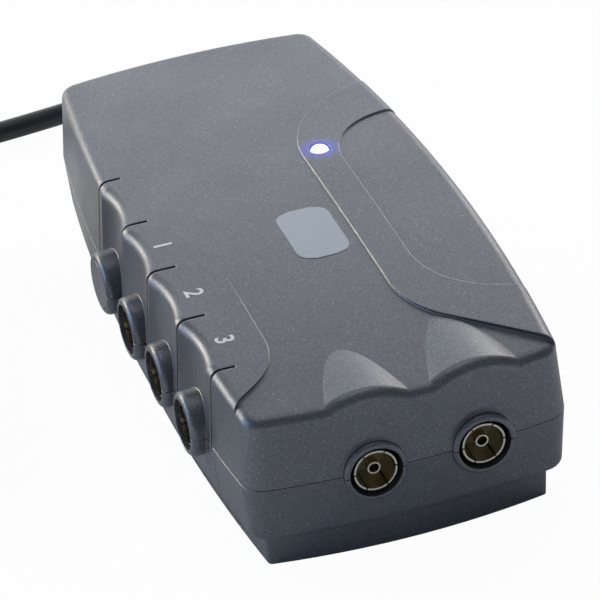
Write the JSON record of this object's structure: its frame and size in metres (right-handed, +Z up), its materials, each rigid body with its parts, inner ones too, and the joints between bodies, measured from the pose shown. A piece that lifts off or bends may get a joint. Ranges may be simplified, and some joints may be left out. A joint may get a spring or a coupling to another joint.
{
  "type": "tv signal amplifier",
  "caption": "mains powered aerial signal amplifier: crowned graphite clamshell with side and front coaxial sockets, power lamp, screened circuit board and mains lead",
  "frame": {"origin": "middle of the base of the housing, on the surface it stands on", "axes": "+Z up, the two front sockets face -Y, the side sockets face -X, the housing is longest along Y"},
  "size_m": [0.1991, 0.2233, 0.046],
  "materials": {
    "graphite_housing": "moulded graphite plastic with fine metallic flake",
    "graphite_plug": "moulded grey plastic",
    "lamp_lens": "diffuse lamp lens",
    "lamp_riser": "black moulded spacer",
    "circuit_board": "paper laminate board",
    "zinc_screws": "zinc plated steel",
    "tinplate": "bright tinplate",
    "ferrite": "sintered ferrite",
    "core_steel": "varnished steel laminations",
    "bobbin_plastic": "white nylon",
    "winding_tape": "yellow winding tape",
    "capacitor_sleeve": "shrunk sleeve",
    "component_black": "moulded package",
    "aluminium_sheet": "plain sheet",
    "fuse_glass": "glass tube fuse",
    "spring_brass": "spring brass",
    "terminal_plastic": "green moulded block",
    "lead_insulation": "insulated leads",
    "cord_black": "soft black sheath",
    "plug_black": "moulded black plug",
    "pin_brass": "bright brass pins",
    "carrier_plastic": "red fuse carrier",
    "fuse_ceramic": "ceramic cartridge",
    "nickel_ring": "bright nickel spring ring",
    "socket_insulator": "dark insulating plastic",
    "nickel_contact": "nickel plated tube"
  },
  "bodies": {
    "root": {"top_cover": "graphite_housing", "bottom_cover": "graphite_housing", "blanking_plug": "graphite_plug", "power_lamp": "lamp_lens", "lamp_riser": "lamp_riser", "circuit_board": "circuit_board", "board_screws": "zinc_screws", "housing_screws": "zinc_screws", "screening_can": "tinplate", "screening_lid": "tinplate", "ferrite_cores": "ferrite", "transformer_core": "core_steel", "transformer_bobbin": "bobbin_plastic", "transformer_winding": "winding_tape", "smoothing_capacitors": "capacitor_sleeve", "bridge_rectifier": "component_black", "heat_sink": "aluminium_sheet", "voltage_regulator": "component_black", "supply_fuse": "fuse_glass", "fuse_clips": "spring_brass", "terminal_block": "terminal_plastic", "mains_leads": "lead_insulation", "strain_relief": "cord_black", "mains_cord": "cord_black", "cord_coil": "cord_black", "cord_tail": "cord_black", "plug_body": "plug_black", "plug_pins": "pin_brass", "side_socket_1_shell": "nickel_ring", "side_socket_1_insulator": "socket_insulator", "side_socket_1_contact": "nickel_contact", "side_socket_2_shell": "nickel_ring", "side_socket_2_insulator": "socket_insulator", "side_socket_2_contact": "nickel_contact", "side_socket_3_shell": "nickel_ring", "side_socket_3_insulator": "socket_insulator", "side_socket_3_contact": "nickel_contact", "front_socket_1_shell": "nickel_ring", "front_socket_1_insulator": "socket_insulator", "front_socket_1_contact": "nickel_contact", "front_socket_2_shell": "nickel_ring", "front_socket_2_insulator": "socket_insulator", "front_socket_2_contact": "nickel_contact"},
    "fuse_carrier": {"plug_fuse_carrier": "carrier_plastic", "plug_fuse": "fuse_ceramic"}
  },
  "joints": [
    {"name": "fuse_carrier_slide", "type": "slide", "parent": "root", "child": "fuse_carrier", "axis": [0, 0, 1], "range_m": [0, 0.008]}
  ]
}
